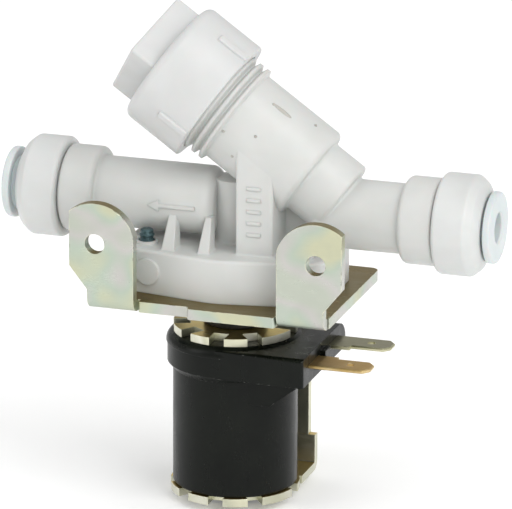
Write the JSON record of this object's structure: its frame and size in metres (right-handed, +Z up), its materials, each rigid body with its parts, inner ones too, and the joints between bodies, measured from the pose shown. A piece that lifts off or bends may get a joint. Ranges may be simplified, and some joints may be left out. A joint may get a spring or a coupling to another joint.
{
  "type": "solenoid valve",
  "caption": "Water solenoid valve with a plastic body, push-fit ports, an angled screw-capped strainer branch, a steel mounting bracket and a round coil with two push-on tabs.",
  "frame": {"origin": "halfway between the bracket's two mounting holes, on the front face of its ears, which meets the panel", "axes": "+X along the pipe from the outlet to the inlet, +Y from the panel face back through the valve, +Z up along the coil's axis, from the coil to the valve body"},
  "size_m": [0.1113, 0.0417, 0.1114],
  "materials": {
    "acetal_body": "satin moulded acetal, off-white",
    "acetal_fitting": "satin moulded acetal, white",
    "acetal_collet": "satin acetal, slightly translucent white",
    "acetal_cap": "satin moulded acetal, off-white",
    "acetal_inner": "satin natural acetal",
    "black_rubber": "matt black rubber",
    "stainless": "bright spring-steel",
    "stainless_mesh": "woven stainless mesh",
    "plunger_steel": "turned magnetic stainless steel",
    "copper": "enamelled copper",
    "black_bonnet": "black glass-filled nylon, satin",
    "black_nylon_bobbin": "black glass-filled nylon",
    "black_coil_mould": "smooth black thermoset",
    "yoke_steel": "pale yellow zinc plate",
    "tab_brass": "tinned brass, warm sheen",
    "spring_steel": "dark spring steel",
    "passivated_steel": "yellow-passivated zinc with a faint rainbow",
    "screw_steel": "blue-green passivated zinc"
  },
  "bodies": {
    "valve": {"valve_body": "acetal_body", "outlet_socket_cap": "acetal_fitting", "inlet_socket_cap": "acetal_fitting", "outlet_o_ring": "black_rubber", "inlet_o_ring": "black_rubber", "bonnet": "black_bonnet", "fixed_core": "plunger_steel", "shading_ring": "copper", "coil_clip": "spring_steel", "mounting_bracket": "passivated_steel", "body_screws": "screw_steel"},
    "outlet_collet": {"outlet_collet": "acetal_collet", "outlet_grip_ring": "stainless"},
    "inlet_collet": {"inlet_collet": "acetal_collet", "inlet_grip_ring": "stainless"},
    "strainer": {"strainer_frame": "acetal_inner", "strainer_mesh": "stainless_mesh"},
    "strainer_cap": {"strainer_cap": "acetal_cap", "strainer_cap_seal": "black_rubber"},
    "diaphragm": {"diaphragm": "black_rubber", "diaphragm_insert": "acetal_inner"},
    "plunger": {"plunger": "plunger_steel", "plunger_seal": "black_rubber", "plunger_spring": "stainless"},
    "coil": {"coil_bobbin": "black_nylon_bobbin", "coil_winding": "copper", "coil_overmould": "black_coil_mould", "upper_yoke": "yoke_steel", "lower_yoke": "yoke_steel", "terminal_front": "tab_brass", "terminal_rear": "tab_brass"}
  },
  "joints": [
    {"name": "plunger_slide", "type": "slide", "parent": "valve", "child": "plunger", "axis": [0, 0, -1], "range_m": [0, 0.003], "stiffness_N_per_m": 120, "springref_m": -0.004, "deforming": ["plunger_spring"]},
    {"name": "diaphragm_slide", "type": "slide", "parent": "valve", "child": "diaphragm", "axis": [0, 0, -1], "range_m": [0, 0.0018], "deforming": ["diaphragm"]},
    {"name": "outlet_collet_slide", "type": "slide", "parent": "valve", "child": "outlet_collet", "axis": [1, 0, 0], "range_m": [0, 0.0013]},
    {"name": "inlet_collet_slide", "type": "slide", "parent": "valve", "child": "inlet_collet", "axis": [-1, 0, 0], "range_m": [-0.0009, 0.0004]},
    {"name": "strainer_lift", "type": "slide", "parent": "valve", "child": "strainer", "axis": [-0.8192, 0, 0.5736], "range_m": [0, 0.0112]},
    {"name": "cap_unscrew", "type": "hinge", "parent": "strainer", "child": "strainer_cap", "pos_m": [0.0283, 0.0221, 0.0055], "axis": [-0.8192, 0, 0.5736], "range_deg": [0, 1980]},
    {"name": "coil_swivel", "type": "hinge", "parent": "valve", "child": "coil", "pos_m": [0, 0.0221, -0.0215], "axis": [0, 0, 1], "continuous": true}
  ],
  "couplings": [
    {"joint": "diaphragm_slide", "follows": "plunger_slide", "ratio": 0.6},
    {"joint": "strainer_lift", "follows": "cap_unscrew", "m_per_rad": 0.00031831}
  ]
}
